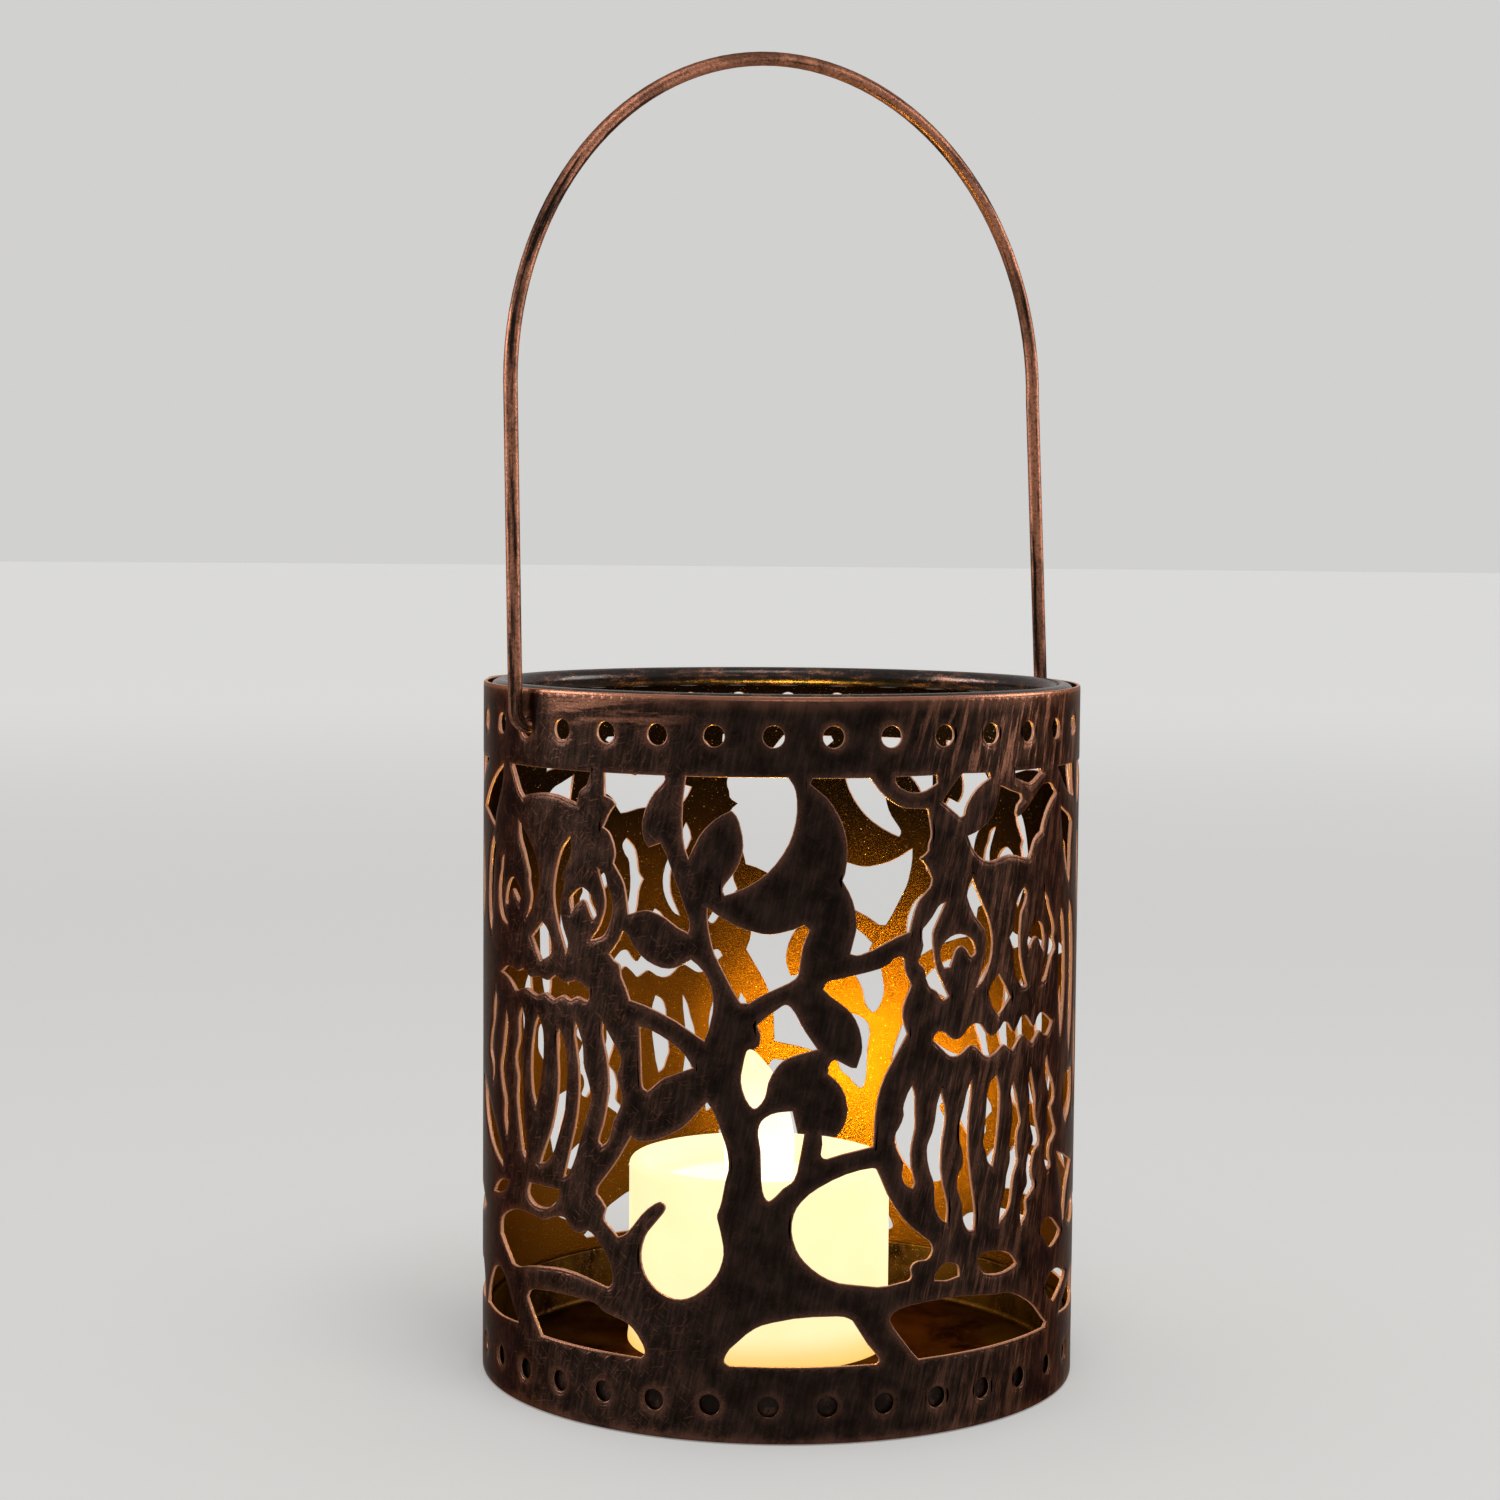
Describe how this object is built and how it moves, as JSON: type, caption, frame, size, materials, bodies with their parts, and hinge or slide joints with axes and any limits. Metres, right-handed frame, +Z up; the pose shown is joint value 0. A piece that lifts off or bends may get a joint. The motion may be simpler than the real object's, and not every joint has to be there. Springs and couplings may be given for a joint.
{
  "type": "candle lantern",
  "caption": "Small cylindrical pierced sheet-metal lantern with an upright wire bail and a flameless battery votive candle standing inside.",
  "frame": {"origin": "middle of the flat underside of the base tray", "axes": "+Z up, X along the hinge line of the bail, Y through the lantern across the bail"},
  "size_m": [0.1069, 0.0949, 0.2091],
  "materials": {
    "pierced_wall_paint": "black-brown paint brushed over with copper, satin, with copper showing on the cut edges",
    "ring_paint": "black-brown satin paint with worn copper highlights",
    "tray_paint": "black-brown satin paint, finely textured",
    "wire_paint": "black-brown satin paint",
    "candle_plastic": "translucent ivory plastic like wax, glowing while the lamp is lit",
    "flame_plastic": "translucent soft plastic flame, lit from inside",
    "lamp_lens": "clear lamp lens",
    "board": "green circuit board",
    "chip_resin": "black resin",
    "base_plastic": "ivory moulded plastic",
    "cell_steel": "plated steel cell",
    "contact_brass": "thin spring strip",
    "switch_plastic": "black moulded plastic",
    "door_plastic": "ivory moulded plastic"
  },
  "bodies": {
    "lantern": {"wall_sheet": "pierced_wall_paint", "rim_ring": "ring_paint", "base_tray": "tray_paint"},
    "bail": {"bail_handle": "wire_paint"},
    "candle": {"candle_shell": "candle_plastic", "flame_tip": "flame_plastic", "led_bulb": "lamp_lens", "circuit_board": "board", "flicker_chip": "chip_resin", "candle_base": "base_plastic", "coin_cell": "cell_steel", "contact_positive": "contact_brass", "contact_negative": "contact_brass", "switch_leaf": "contact_brass"},
    "switch": {"switch_slider": "switch_plastic"},
    "door": {"battery_door": "door_plastic"}
  },
  "joints": [
    {"name": "bail_swing", "type": "hinge", "parent": "lantern", "child": "bail", "pos_m": [0, 0, 0.1042], "axis": [1, 0, 0], "range_deg": [-150, 150]},
    {"name": "candle_lift", "type": "slide", "parent": "lantern", "child": "candle", "axis": [0, 0, 1], "range_m": [0, 0.112]},
    {"name": "switch_slide", "type": "slide", "parent": "candle", "child": "switch", "axis": [0, 1, 0], "range_m": [-0.0015, 0.0015]},
    {"name": "door_turn", "type": "hinge", "parent": "candle", "child": "door", "pos_m": [0.0023, 0.0084, 0.003], "axis": [0, 0, 1], "range_deg": [0, 55]}
  ]
}
